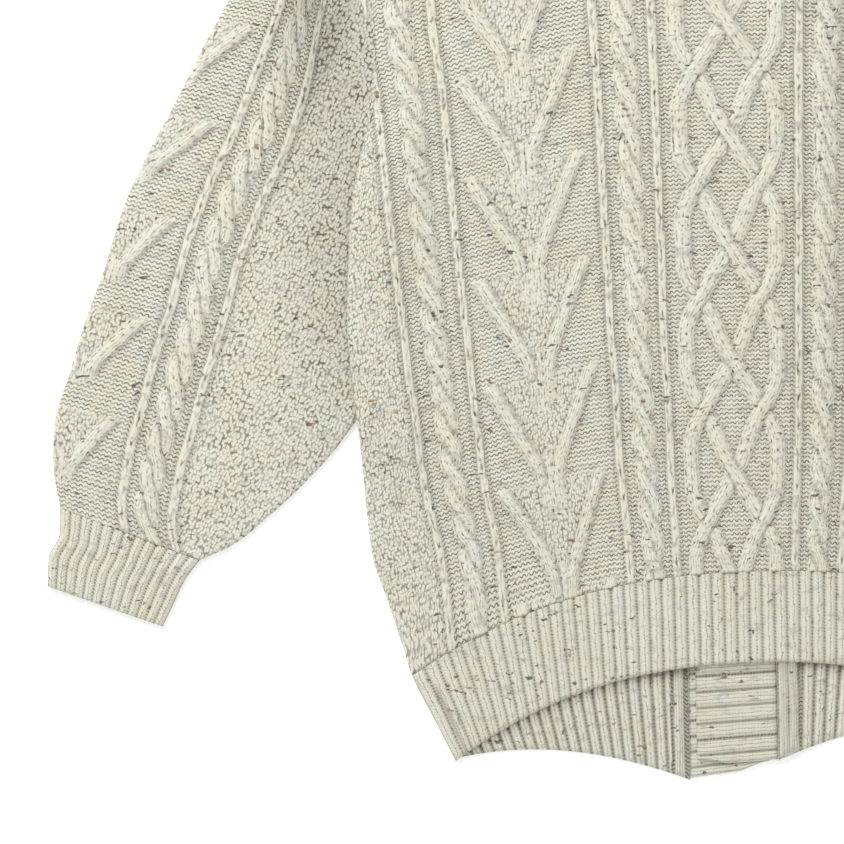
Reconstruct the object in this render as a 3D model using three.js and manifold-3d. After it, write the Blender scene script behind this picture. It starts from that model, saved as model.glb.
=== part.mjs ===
// A cable knit cardigan laid out flat on its front, so that its back is on top.
// Millimetres. +X runs across to the wearer's right, +Y from hem to neck, +Z up from the surface.
// Heights along Y are first measured from the middle of the back hem; the last lines centre the whole.
import * as THREE from "three";
import { mergeVertices } from "three/addons/utils/BufferGeometryUtils.js";
import Module from "manifold-3d";

const wasm = await Module();
wasm.setup();

// Driving dimensions
const CLOTH = 3.6; // thickness of the knitted wall
const LAP = 0.4; // air between two layers that lie on each other
const SEAM = 0.3; // air between two pieces that are sewn edge to edge
const LAYER = CLOTH + LAP; // rise from one layer to the next
const HEM_DEPTH = 70; // how far the hem's side corners lie below its middle
const HEM_HALF = 213; // half the width of the hem's edge
const ARCH_SHIFT = 24; // the hem's highest point lies this far right of the middle
const ARCH_POWER = 2.4; // how flat the arch of the hem is before it falls
const FRONT_DROP = { left: 84, right: 73 }; // how far each front's band edge hangs below the back hem
const RIB_STRETCH = 20; // how much of that is taken up by its rib, which is drawn out beside the band
const NECK_HALF = 85; // half the width of the neck between the bands' seams
const NECK_SIDE = 700; // height of the neck where it meets the shoulder
const NECK_BACK = 680; // height of the neck at the middle of the back
const BAND = 61; // width of the front and neck bands
const SEAM_HALF = 33; // from the middle of the buttoned bands to either band's seam
const BAND_SHIFT = -4; // the buttoned bands' middle lies this far right of the garment's
const V_START = 395; // height at which the two fronts part
const FOOT = { left: { sewn: -86, free: -79 }, right: { sewn: -73, free: -77 } }; // the bands' lower corners
const BAND_STEP = { start: 590, end: 650 }; // between these heights the right band comes down beside the left one
const BAND_RISE = 45; // width over which the right front climbs on to its band
const MIDDLE_RAMP = { start: 12, end: 70 }; // out from a band's seam, the back comes down on to the fronts
const NECK_RAMP = { start: 620, end: 690 }; // and up towards the neck it does the same
const BUTTON_RADIUS = 11;
const BUTTON_COUNT = 6;
const FIRST_BUTTON = 20;
const BUTTON_PITCH = 73;

// The body, one row for each section from the top of the hem rib to the shoulder. back is its height at the
// top of the arch, side its height at the side seam, half its half width, and over says how much of
// the side is lifted on to the sleeve beneath it.
const BODY = [
  { back: 68.5, side: -4.7, half: 244.6, over: 0 },
  { back: 84, side: 20, half: 252, over: 0 },
  { back: 103, side: 52, half: 262, over: 0 },
  { back: 124, side: 83, half: 272, over: 0 },
  { back: 150, side: 116, half: 276, over: 0 },
  { back: 175, side: 145, half: 278, over: 0.35 },
  { back: 200, side: 174, half: 280.5, over: 1 },
  { back: 230, side: 207, half: 284, over: 1 },
  { back: 275, side: 255, half: 288, over: 1 },
  { back: 320, side: 302, half: 286.5, over: 1 },
  { back: 365, side: 349, half: 283, over: 1 },
  { back: 395, side: 380, half: 277, over: 1 },
  { back: 441, side: 428, half: 266, over: 0 },
  { back: 474, side: 460, half: 268, over: 0 },
  { back: 518, side: 503, half: 274, over: 0 },
  { back: 570, side: 555, half: 274, over: 0 },
  { back: 625, side: 612, half: 270, over: 0 },
  { back: 680, side: 665, half: 266, over: 0 },
];
const UNDERARM = 12; // the row of BODY at the foot of the armhole
const SHOULDER = BODY.at(-1);

// A sleeve, from its cuff to the armhole. Each row joins its outer fold to its inner fold.
const SLEEVE = [
  { outX: 506.2, outY: 126.5, inX: 402.5, inY: 85 },
  { outX: 511, outY: 160, inX: 376, inY: 97 },
  { outX: 509, outY: 190, inX: 350, inY: 117 },
  { outX: 497, outY: 228, inX: 322, inY: 142 },
  { outX: 485, outY: 265, inX: 296, inY: 170 },
  { outX: 470, outY: 304, inX: 275, inY: 203 },
  { outX: 455, outY: 349, inX: 265, inY: 252 },
  { outX: 438, outY: 386, inX: 264.5, inY: 305 },
  { outX: 417, outY: 423, inX: 269, inY: 352 },
  { outX: 396, outY: 463, inX: 277.7, inY: 381 },
  { outX: 368, outY: 512, inX: 273.7, inY: 398 },
  { outX: 325, outY: 585, inX: 270.9, inY: 412 },
  { outX: 266.3, outY: 665, inX: 266.3, inY: 429 },
];
const CUFF = [
  { outX: 517, outY: 68, inX: 431, inY: 36 },
  { outX: 515.5, outY: 90, inX: 422, inY: 54 },
  { outX: 507, outY: 108, inX: 414, inY: 70 },
  { outX: 506.3, outY: 126.1, inX: 402.4, inY: 84.6 },
];

// A front band above the place where the fronts part: the height of its sewn edge, and its free edge.
const BAND_TOP = [
  { sewnY: V_START, freeX: SEAM_HALF - BAND, freeY: V_START },
  { sewnY: 470, freeX: -15, freeY: 478 },
  { sewnY: 560, freeX: 1, freeY: 572 },
  { sewnY: 600, freeX: 9, freeY: 616 },
  { sewnY: 645, freeX: 19, freeY: 668 },
  { sewnY: 688, freeX: 41, freeY: 732 },
  { sewnY: NECK_SIDE, freeX: 76, freeY: 760 },
];

// Places across the body as parts of its half width. The last two make the rounded side edge.
const RAMP = { start: 0.78, end: 0.91 };
const SIDE_COLUMNS = [RAMP.start, 0.845, RAMP.end, 0.985, 1];
const MIDDLE_COLUMNS = [0, 0.1, 0.2, NECK_HALF / SHOULDER.half, 0.45, 0.6];
const FRONT_COLUMNS = [0, 0.12, 0.3, 0.5, 0.75];
const EDGE_THINNING = 0.3; // part of the thickness that the rounded edge loses on each face

const { lerp, smoothstep } = THREE.MathUtils;

const material = (name, color, roughness) =>
  Object.assign(new THREE.MeshStandardMaterial({ color, roughness, metalness: 0 }), { name });
const wool = material("wool", 0xd9d2bd, 0.95);
const ribbing = material("ribbing", 0xd2cbb4, 0.95);
const horn = material("horn", 0x4b382a, 0.45);

// One closed body from shared vertices, turned inside out if its faces point in.
function closedBody(vertices, triangles) {
  const [a, b, c] = [new THREE.Vector3(), new THREE.Vector3(), new THREE.Vector3()];
  let volume = 0;
  for (const [i, j, k] of triangles) {
    volume += a.copy(vertices[i]).dot(b.copy(vertices[j]).cross(c.copy(vertices[k])));
  }
  const facing = volume < 0 ? triangles.map(([i, j, k]) => [i, k, j]) : triangles;
  const geometry = new THREE.BufferGeometry().setFromPoints(vertices);
  geometry.setIndex(facing.flat());
  return geometry;
}

// A wall of cloth over a grid of rows and columns. place(row, column) gives the x, y and z of its under
// side and, at a rounded edge, thinning. Both halves of the garment are divided alike, mirrored.
function clothWall(rows, columns, place) {
  const under = [];
  const upper = [];
  for (let r = 0; r < rows; r++) {
    for (let c = 0; c < columns; c++) {
      const { x, y, z, thinning = 0 } = place(r, c);
      under.push(new THREE.Vector3(x, y, z + thinning * CLOTH));
      upper.push(new THREE.Vector3(x, y, z + (1 - thinning) * CLOTH));
    }
  }
  const count = under.length;
  const at = (r, c) => r * columns + c;
  const triangles = [];
  for (let r = 0; r + 1 < rows; r++) {
    for (let c = 0; c + 1 < columns; c++) {
      const [p, q, s, t] = [at(r, c), at(r, c + 1), at(r + 1, c + 1), at(r + 1, c)];
      const outwards = Math.abs(under[q].x) > Math.abs(under[p].x);
      const halves = outwards ? [[p, s, q], [p, t, s]] : [[p, t, q], [q, t, s]];
      triangles.push(...halves, ...halves.map(([i, j, k]) => [i + count, k + count, j + count]));
    }
  }
  const rim = [];
  for (let c = 0; c < columns; c++) rim.push(at(0, c));
  for (let r = 1; r < rows; r++) rim.push(at(r, columns - 1));
  for (let c = columns - 2; c >= 0; c--) rim.push(at(rows - 1, c));
  for (let r = rows - 2; r > 0; r--) rim.push(at(r, 0));
  rim.forEach((p, i) => {
    const q = rim[(i + 1) % rim.length];
    triangles.push([p, q, q + count], [p, q + count, p + count]);
  });
  return closedBody([...under, ...upper], triangles);
}

// How far along its arch a row of the body has fallen at x: 0 at the top of the arch, 1 at both sides.
function arch(x, half) {
  const reach = x < ARCH_SHIFT ? half + ARCH_SHIFT : half - ARCH_SHIFT;
  return (Math.abs(x - ARCH_SHIFT) / reach) ** ARCH_POWER;
}

const rowHeight = (row, x) => row.back - (row.back - row.side) * arch(x, row.half);

function shoulderHeight(x) {
  const out = Math.abs(x);
  if (out < NECK_HALF) return lerp(NECK_BACK, NECK_SIDE, (out / NECK_HALF) ** 2);
  return lerp(NECK_SIDE, SHOULDER.side, (out - NECK_HALF) / (SHOULDER.half - NECK_HALF));
}

const bodyHeight = (r, x) => (BODY[r] === SHOULDER ? shoulderHeight(x) : rowHeight(BODY[r], x));

// The hem rib's sections run from the edge of the hem up to the body's first row.
const RIB_ROWS = 4;
function ribRow(r) {
  const t = r / (RIB_ROWS - 1);
  return {
    back: lerp(0, BODY[0].back, t),
    side: lerp(-HEM_DEPTH, BODY[0].side, t),
    half: lerp(HEM_HALF, BODY[0].half, t),
    over: 0,
    seam: r === RIB_ROWS - 1 ? SEAM : 0,
  };
}

// Lift of the body's sides on to the sleeves.
const sideLift = (row, part) => 2 * LAYER * row.over * smoothstep(part, RAMP.start, RAMP.end);

// The line along which a front is sewn to its band, and how far the two bands lie to one side.
const parted = (y) => Math.max(0, (y - V_START) / (NECK_SIDE - V_START));
const bandSeam = (y) => lerp(SEAM_HALF, NECK_HALF, parted(y));
const bandShift = (y) => BAND_SHIFT * (1 - parted(y));

// How much of a layer the wearer's right band is raised by the left band beneath it.
const bandLift = (y) => 1 - smoothstep(y, BAND_STEP.start, BAND_STEP.end);

// Lift of the back over the two front bands, which lie one on the other.
function middleLift(x, y) {
  const beside = 1 - smoothstep(Math.abs(x) - bandSeam(y), MIDDLE_RAMP.start, MIDDLE_RAMP.end);
  return LAYER * beside * (1 - smoothstep(y, NECK_RAMP.start, NECK_RAMP.end));
}

const mirrored = (columns) => [...columns.slice(1).reverse().map((c) => -c), ...columns];
const thinned = (part) => (Math.abs(part) === 1 ? EDGE_THINNING : 0);

function backPlace(row, part, y) {
  const x = part * row.half;
  const z = LAYER + sideLift(row, Math.abs(part)) + middleLift(x, y);
  return { x, y, z, thinning: thinned(part) };
}

function back() {
  const columns = mirrored([...MIDDLE_COLUMNS, ...SIDE_COLUMNS]);
  return clothWall(BODY.length, columns.length, (r, c) => {
    const y = bodyHeight(r, columns[c] * BODY[r].half);
    return backPlace(BODY[r], columns[c], y);
  });
}

function backRib() {
  const columns = mirrored([...MIDDLE_COLUMNS, ...SIDE_COLUMNS]);
  return clothWall(RIB_ROWS, columns.length, (r, c) => {
    const row = ribRow(r);
    const y = rowHeight(row, columns[c] * row.half) - row.seam;
    return backPlace(row, columns[c], y);
  });
}

const signOf = { left: -1, right: 1 };

// Where a row of a front meets its band. The row's height depends on x and the seam's x on the height,
// so it's found in a few rounds.
function frontEdge(sign, height, drop) {
  let edge = SEAM_HALF;
  for (let round = 0; round < 6; round++) {
    const y = height(sign * edge) - drop;
    edge = bandSeam(y) + sign * bandShift(y) + SEAM;
  }
  return edge;
}

// drop lowers a front's band edge below the back's row, and fades to nothing at the side seam.
function frontPlace(side, row, column, height, drop) {
  const sign = signOf[side];
  const inner = FRONT_COLUMNS.length;
  const edge = frontEdge(sign, height, drop);
  const start = RAMP.start * row.half;
  const isInner = column < inner;
  const out = isInner ? lerp(edge, start, FRONT_COLUMNS[column]) : SIDE_COLUMNS[column - inner] * row.half;
  const x = sign * out;
  const fall = drop * ((row.half - out) / (row.half - edge));
  const y = height(x) - fall;
  const rise = side === "right" ? LAYER * bandLift(y) * (1 - smoothstep(out - edge, 0, BAND_RISE)) : 0;
  const part = out / row.half;
  const thinning = isInner ? 0 : thinned(SIDE_COLUMNS[column - inner]);
  return { x, y, z: rise + sideLift(row, part), thinning };
}

const FRONT_WIDTH = FRONT_COLUMNS.length + SIDE_COLUMNS.length;

// The front's rows take up the drop of its hem within the first few sections.
const DROP_ROWS = 5;
const DROP_CURVE = 1.6;
function frontDrop(side, r) {
  const left = Math.max(0, 1 - r / DROP_ROWS);
  return (FRONT_DROP[side] - RIB_STRETCH) * left ** DROP_CURVE;
}

function front(side) {
  return clothWall(BODY.length, FRONT_WIDTH, (r, c) =>
    frontPlace(side, BODY[r], c, (x) => bodyHeight(r, x), frontDrop(side, r)),
  );
}

function frontRib(side) {
  return clothWall(RIB_ROWS, FRONT_WIDTH, (r, c) => {
    const row = ribRow(r);
    const drop = FRONT_DROP[side] - (RIB_STRETCH * r) / (RIB_ROWS - 1);
    return frontPlace(side, row, c, (x) => rowHeight(row, x) - row.seam, drop);
  });
}

// A front band: a straight stretch from the hem, then the turn of the neck.
const BAND_COLUMNS = 4;
const STRAIGHT_ROWS = 7;
function bandRows(side) {
  const foot = FOOT[side];
  const [first] = BAND_TOP;
  const straight = Array.from({ length: STRAIGHT_ROWS }, (_, i) => ({
    ...first,
    sewnY: lerp(foot.sewn, V_START, i / STRAIGHT_ROWS),
    freeY: lerp(foot.free, V_START, i / STRAIGHT_ROWS),
  }));
  return [...straight, ...BAND_TOP];
}

function band(side) {
  const rows = bandRows(side);
  return clothWall(rows.length, BAND_COLUMNS, (r, c) => {
    const row = rows[r];
    const t = c / (BAND_COLUMNS - 1);
    const y = lerp(row.sewnY, row.freeY, t);
    const x = signOf[side] * lerp(bandSeam(row.sewnY), row.freeX, t) + bandShift(row.sewnY);
    return { x, y, z: side === "right" ? LAYER * bandLift(row.sewnY) : 0 };
  });
}

// The band round the back of the neck stands up from the neck's seam.
function neckBand() {
  const end = BAND_TOP.at(-1);
  const columns = mirrored(MIDDLE_COLUMNS.slice(0, 4).map((part) => (part * SHOULDER.half) / NECK_HALF));
  return clothWall(2, columns.length, (r, c) => {
    const part = columns[c];
    const seamX = part * NECK_HALF;
    const freeX = part * end.freeX;
    const seamY = shoulderHeight(seamX) + SEAM;
    const freeY = lerp(NECK_BACK + BAND, end.freeY, part ** 2);
    const x = r === 0 ? seamX : freeX;
    const y = r === 0 ? seamY : freeY;
    return { x, y, z: LAYER };
  });
}

// A flattened tube lies with one wall on the other. Its section is a slot with round ends.
const TUBE_HEIGHT = 2 * CLOTH + LAP;
const TUBE_COLUMNS = [0, 0.224, 0.464, 0.684, 0.865, 1];
function slotSection(inset) {
  const low = inset;
  const high = TUBE_HEIGHT - inset;
  const round = Math.min(0.3 * TUBE_HEIGHT, (high - low) / 2);
  const flat = TUBE_COLUMNS.map((t) => ({ t, turn: (inset + round) * (1 - 2 * t) }));
  return [
    { t: 0, turn: inset, z: TUBE_HEIGHT / 2 },
    ...flat.map((p) => ({ ...p, z: low })),
    { t: 1, turn: -inset, z: TUBE_HEIGHT / 2 },
    ...flat.toReversed().map((p) => ({ ...p, z: high })),
  ];
}

// rows give the folds' places; bend(point) may move a point of the last row on to the armhole.
function tube(side, rows, bend) {
  const sections = [slotSection(0), slotSection(CLOTH)];
  const size = sections[0].length;
  const vertices = rows.flatMap((row, r) => {
    const outer = new THREE.Vector3(signOf[side] * row.outX, row.outY, 0);
    const inner = new THREE.Vector3(signOf[side] * row.inX, row.inY, 0);
    const width = outer.distanceTo(inner);
    return sections.flat().map(({ t, turn, z }) => {
      const point = outer.clone().lerp(inner, t + turn / width);
      if (bend && r === rows.length - 1) bend(point);
      return point.setZ(z);
    });
  });
  const triangles = [];
  const quad = (p, q, s, t) => triangles.push([p, q, s], [p, s, t]);
  const at = (r, skin, i) => (r * 2 + skin) * size + (i % size);
  for (let i = 0; i < size; i++) {
    for (let r = 0; r + 1 < rows.length; r++) {
      quad(at(r, 0, i), at(r, 0, i + 1), at(r + 1, 0, i + 1), at(r + 1, 0, i));
      quad(at(r, 1, i + 1), at(r, 1, i), at(r + 1, 1, i), at(r + 1, 1, i + 1));
    }
    const last = rows.length - 1;
    quad(at(0, 0, i + 1), at(0, 0, i), at(0, 1, i), at(0, 1, i + 1));
    quad(at(last, 0, i), at(last, 0, i + 1), at(last, 1, i + 1), at(last, 1, i));
  }
  return closedBody(vertices, triangles);
}

// The sleeve's last section follows the body's armhole, a seam's width away.
function sleeve(side) {
  return tube(side, SLEEVE, (point) => {
    const rows = BODY.slice(UNDERARM);
    const above = Math.max(1, rows.findIndex((row) => row.side >= point.y));
    const [low, high] = [rows[above - 1], rows[above]];
    const t = (point.y - low.side) / (high.side - low.side);
    point.x = signOf[side] * (lerp(low.half, high.half, t) + SEAM);
  });
}

// A flat round button on a short shank. It sits face down in a hollow of the band that it fastens.
const HOLLOW = { radius: BUTTON_RADIUS + 0.4, depth: 3 };
const SLIT = { width: 18, height: 5 };
const buttonHeights = Array.from({ length: BUTTON_COUNT }, (_, i) => FIRST_BUTTON + i * BUTTON_PITCH);
function button() {
  const R = BUTTON_RADIUS;
  const outline = [
    [0, 0], [R - 2.5, 0], [R - 0.6, 0.5], [R, 1.4], [R - 0.6, 2.3], [R - 3, 2.7], [2, 2.7], [2, CLOTH + 0.1],
    [0, CLOTH + 0.1],
  ];
  const points = outline.map(([radius, height]) => new THREE.Vector2(radius, height));
  return new THREE.LatheGeometry(points, 16).rotateX(Math.PI / 2);
}

function solidOf(geometry) {
  const bare = geometry.clone();
  bare.deleteAttribute("normal");
  bare.deleteAttribute("uv");
  const merged = mergeVertices(bare);
  const vertProperties = Float32Array.from(merged.attributes.position.array);
  const triVerts = Uint32Array.from(merged.index.array);
  return new wasm.Manifold(new wasm.Mesh({ numProp: 3, vertProperties, triVerts }));
}

function geometryOf(solid) {
  const { vertProperties, triVerts } = solid.getMesh();
  const geometry = new THREE.BufferGeometry();
  geometry.setAttribute("position", new THREE.BufferAttribute(vertProperties, 3));
  return geometry.setIndex(new THREE.BufferAttribute(triVerts, 1));
}

// The wearer's left band fastens over the right one: each button comes through a slit in it.
function buttonholeBand() {
  let solid = solidOf(band("left"));
  for (const y of buttonHeights) {
    const hollow = new THREE.CylinderGeometry(HOLLOW.radius, HOLLOW.radius, 2 * HOLLOW.depth, 20);
    hollow.rotateX(Math.PI / 2).translate(BAND_SHIFT, y, 0);
    const slit = new THREE.BoxGeometry(SLIT.width, SLIT.height, 4 * CLOTH).translate(BAND_SHIFT, y, 0);
    solid = solid.subtract(solidOf(hollow)).subtract(solidOf(slit));
  }
  return geometryOf(solid);
}

const cardigan = new THREE.Group();
function add(name, geometry, finish) {
  const mesh = new THREE.Mesh(geometry, finish);
  mesh.name = name;
  cardigan.add(mesh);
  return mesh;
}

add("back", back(), wool);
add("back_rib", backRib(), ribbing);
for (const side of ["left", "right"]) {
  add(`${side}_front`, front(side), wool);
  add(`${side}_front_rib`, frontRib(side), ribbing);
  add(`${side}_sleeve`, sleeve(side), wool);
  add(`${side}_cuff`, tube(side, CUFF), ribbing);
}
add("left_band", buttonholeBand(), ribbing);
add("right_band", band("right"), ribbing);
add("neck_band", neckBand(), ribbing);
buttonHeights.forEach((y, i) => {
  add(`button_${i + 1}`, button(), horn).position.set(BAND_SHIFT, y, 0);
});

// The origin is the middle of the whole outline, on the surface that the garment lies on.
const box = new THREE.Box3().setFromObject(cardigan, true);
cardigan.position.y = -(box.min.y + box.max.y) / 2;

export default cardigan;
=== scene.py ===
# %% [markdown]
# # A cable knit cardigan, laid flat with its back up
# Heavy knitting is one thick yarn worked into columns and rows. Some columns cross over others and
# stand up as ropes and braids, and the ground behind them is the purl side, which lies lower. The
# big forms could be bump only, but they cast shadows and show at the edges, so here the ropes,
# braids and branches are real relief, and only the single stitches are bump and colour.

# %% The frame and the tools
import math

import bpy
import numpy as np
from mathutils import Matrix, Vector


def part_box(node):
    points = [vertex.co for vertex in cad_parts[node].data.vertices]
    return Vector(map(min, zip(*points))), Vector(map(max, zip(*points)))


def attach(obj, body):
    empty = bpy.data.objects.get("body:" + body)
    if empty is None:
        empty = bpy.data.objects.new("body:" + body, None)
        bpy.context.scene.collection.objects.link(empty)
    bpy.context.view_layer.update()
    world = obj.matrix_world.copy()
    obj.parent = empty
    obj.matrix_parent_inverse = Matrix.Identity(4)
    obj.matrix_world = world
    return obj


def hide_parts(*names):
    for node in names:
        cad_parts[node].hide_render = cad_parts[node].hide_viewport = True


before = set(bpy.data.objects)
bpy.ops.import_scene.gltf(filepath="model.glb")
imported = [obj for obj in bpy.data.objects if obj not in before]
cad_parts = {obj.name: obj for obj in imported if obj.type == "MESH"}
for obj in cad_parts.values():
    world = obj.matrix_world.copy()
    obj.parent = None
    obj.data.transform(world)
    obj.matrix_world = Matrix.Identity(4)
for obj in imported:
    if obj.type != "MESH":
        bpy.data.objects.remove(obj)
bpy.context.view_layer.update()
MM = 0.001
SIDES = (("left", -1), ("right", 1))

# %% [markdown]
# ## The plan of the body
# The wool lies in rows that follow the hem, so every place on the body has two addresses: its row,
# counted in millimetres along the middle of the back, and its part of the half width. One short
# table says where each row lies. A lattice could bend a straight grid into this shape, but a table
# read through a smooth curve gives the same answer to the cloth, the cables and the seams.

# %% The table of rows
# back: height at the top of the arch; side: height at the side seam
# half: half the width; over: 1 where the side lies on the sleeve
BODY = [
    dict(back=-0.5, side=-70, half=213, over=0),
    dict(back=34, side=-37, half=229, over=0),
    dict(back=68.5, side=-4.7, half=244.6, over=0),
    dict(back=84, side=20, half=252, over=0),
    dict(back=103, side=52, half=262, over=0),
    dict(back=124, side=83, half=272, over=0),
    dict(back=150, side=116, half=276, over=0),
    dict(back=175, side=145, half=278, over=0.35),
    dict(back=200, side=174, half=280.5, over=1),
    dict(back=230, side=207, half=284, over=1),
    dict(back=275, side=255, half=288, over=1),
    dict(back=320, side=302, half=286.5, over=1),
    dict(back=365, side=349, half=283, over=1),
    dict(back=395, side=380, half=277, over=1),
    dict(back=441, side=428, half=266, over=0),
    dict(back=474, side=460, half=268, over=0),
    dict(back=518, side=503, half=274, over=0),
    dict(back=570, side=555, half=274, over=0),
    dict(back=625, side=612, half=270, over=0),
    dict(back=680, side=665, half=266, over=0),
]
CLOTH, LAP = 3.6, 0.4  # the wall, and the air between two layers
LAYER = CLOTH + LAP
TUBE = 2 * CLOTH + LAP  # a flattened tube is two walls
RIB_TOP, BODY_TOP = 68.5, 680.0  # the rows where the hem rib ends and where the shoulders lie
ARCH_SHIFT, ARCH_POWER = 24.0, 2.4  # the arch of the hem is highest this far right of the middle
NECK_HALF, NECK_SIDE, NECK_BACK, SHOULDER_HALF = 85.0, 700.0, 680.0, 266.0
BAND, SEAM_HALF, BAND_SHIFT, V_START = 61.0, 33.0, -4.0, 395.0
FOOT = {"left": dict(sewn=-86.0, free=-79.0), "right": dict(sewn=-73.0, free=-77.0)}
# heights are measured from the middle of the back hem, and the frame's from its own centre
TO_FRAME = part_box("left_band")[0][1] / MM - FOOT["left"]["sewn"]
print("shift along the length, mm:", round(TO_FRAME, 1))

# %% [markdown]
# A table becomes a shape when it is read through a curve. A common spline swings past its points
# where they turn, and would give the seams small bulges. This one holds its slopes back there.

# %% Smooth steps and curves
def smooth(low, high, x):
    t = np.clip((np.asarray(x, float) - low) / (high - low), 0, 1)
    return t * t * (3 - 2 * t)


def curve(xs, ys):
    """A smooth curve through a few places, which doesn't overshoot them."""
    xs, ys = np.asarray(xs, float), np.asarray(ys, float)
    steps = np.diff(ys) / np.diff(xs)
    ahead, behind = steps[1:], steps[:-1]
    inner = np.where(ahead * behind > 0, 2 * ahead * behind / (ahead + behind + 1e-12), 0)
    slopes = np.concatenate([steps[:1], inner, steps[-1:]])

    def at(x):
        x = np.clip(x, xs[0], xs[-1])
        i = np.clip(np.searchsorted(xs, x) - 1, 0, len(xs) - 2)
        h = xs[i + 1] - xs[i]
        t = (x - xs[i]) / h
        return (
            (1 + 2 * t) * (1 - t) ** 2 * ys[i] + t * (1 - t) ** 2 * h * slopes[i]
            + t * t * (3 - 2 * t) * ys[i + 1] + t * t * (t - 1) * h * slopes[i + 1]
        )

    return at


def hill(x, middle, spread):
    """A bell that is 1 at the middle."""
    return np.exp(-(((x - middle) / spread) ** 2))


BACKS = [row["back"] for row in BODY]
side_at = curve(BACKS, [row["side"] for row in BODY])
half_at = curve(BACKS, [row["half"] for row in BODY])
over_at = curve(BACKS, [row["over"] for row in BODY])
print("widest, mm:", round(2 * float(half_at(275.0))))

# %% [markdown]
# The rows near the hem follow its arch. Higher up the side seams pull them straight, but the
# courses of stitches go on drooping to the sides, as gravity and the wide hem leave them.

# %% Places on the body
COURSE_DROOP = 62.0  # how far the courses droop at the sides
SHOULDER_START = 560.0  # above this row the rows lean into the line of the shoulders


def arch(x, half):
    reach = np.where(x < ARCH_SHIFT, half + ARCH_SHIFT, half - ARCH_SHIFT)
    return (np.abs(x - ARCH_SHIFT) / reach) ** ARCH_POWER


def droop(row, x):
    """What the table's rows lack of the droop of the courses."""
    lack = np.maximum(0, COURSE_DROOP - (row - side_at(row)))
    return lack * smooth(RIB_TOP, RIB_TOP + 70, row) * arch(x, half_at(row))


def top_edge(x):
    out = np.abs(x)
    neck = NECK_BACK + (NECK_SIDE - NECK_BACK) * (out / NECK_HALF) ** 2
    slope = (BODY[-1]["side"] - NECK_SIDE) / (SHOULDER_HALF - NECK_HALF)
    return np.where(out < NECK_HALF, neck, NECK_SIDE + slope * (out - NECK_HALF))


def body_height(row, x):
    y = row - (row - side_at(row)) * arch(x, half_at(row))
    return y + (top_edge(x) - y) * smooth(SHOULDER_START, BODY_TOP, row) ** 2


print("side seam's lowest place, mm:", float(body_height(np.array(-0.5), -213.0)))

# %% [markdown]
# The pieces lie on one another: the right band on the left one, the back on both, and the body's
# sides on the sleeves. Cloth can't step up at once, so each lift rises over a short ramp.

# %% Seams and lifts
BAND_STEP = (590, 650)  # heights between which the bands part for the neck
MIDDLE_RAMP = (12, 70)  # how far outside the bands the back comes down from them
NECK_RAMP = (620, 690)
SIDE_RAMP = (0.78, 0.91)  # parts of the half width


def parted(y):
    return np.maximum(0, (y - V_START) / (NECK_SIDE - V_START))


def band_seam(y):
    return SEAM_HALF + (NECK_HALF - SEAM_HALF) * parted(y)


def band_shift(y):
    return BAND_SHIFT * (1 - parted(y))


def band_lift(y):
    return 1 - smooth(*BAND_STEP, y)


def side_lift(row, part):
    return 2 * LAYER * over_at(row) * smooth(*SIDE_RAMP, part)


def middle_lift(x, y):
    beside = smooth(*MIDDLE_RAMP, np.abs(x) - band_seam(y))
    return LAYER * (1 - beside) * (1 - smooth(*NECK_RAMP, y))


print("lift over the bands, mm:", float(middle_lift(0.0, 100.0)))

# %% [markdown]
# ## The stitch pattern
# The body is made of panels side by side: a braid of four strands in the middle, then on each side
# a twisted single stitch, a rope, a single, a tall branch that forks again and again, a single, a
# rope, a single, and moss stitch to the seam. A curve with a bevel could be laid for every strand,
# but the strands sink into the ground and melt into each other, so the whole pattern is one height
# over the cloth, and the highest strand wins.

# %% Gauge and strands
STITCH, COURSE = 4.7, 3.34  # a stitch is this wide, and a row this tall, in mm of wool
RIB_COURSE = 2.4  # the ribs are knitted tighter
# the wool draws in towards the hem: widths in wool by the distance above the rib
DRAWN_AT = [-70, 0, 40, 87, 116, 206, 296, 372, 430, 640]
draw_in = curve(DRAWN_AT, [0.76, 0.79, 0.812, 0.855, 0.87, 0.91, 0.944, 0.968, 1.0, 1.02])


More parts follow.
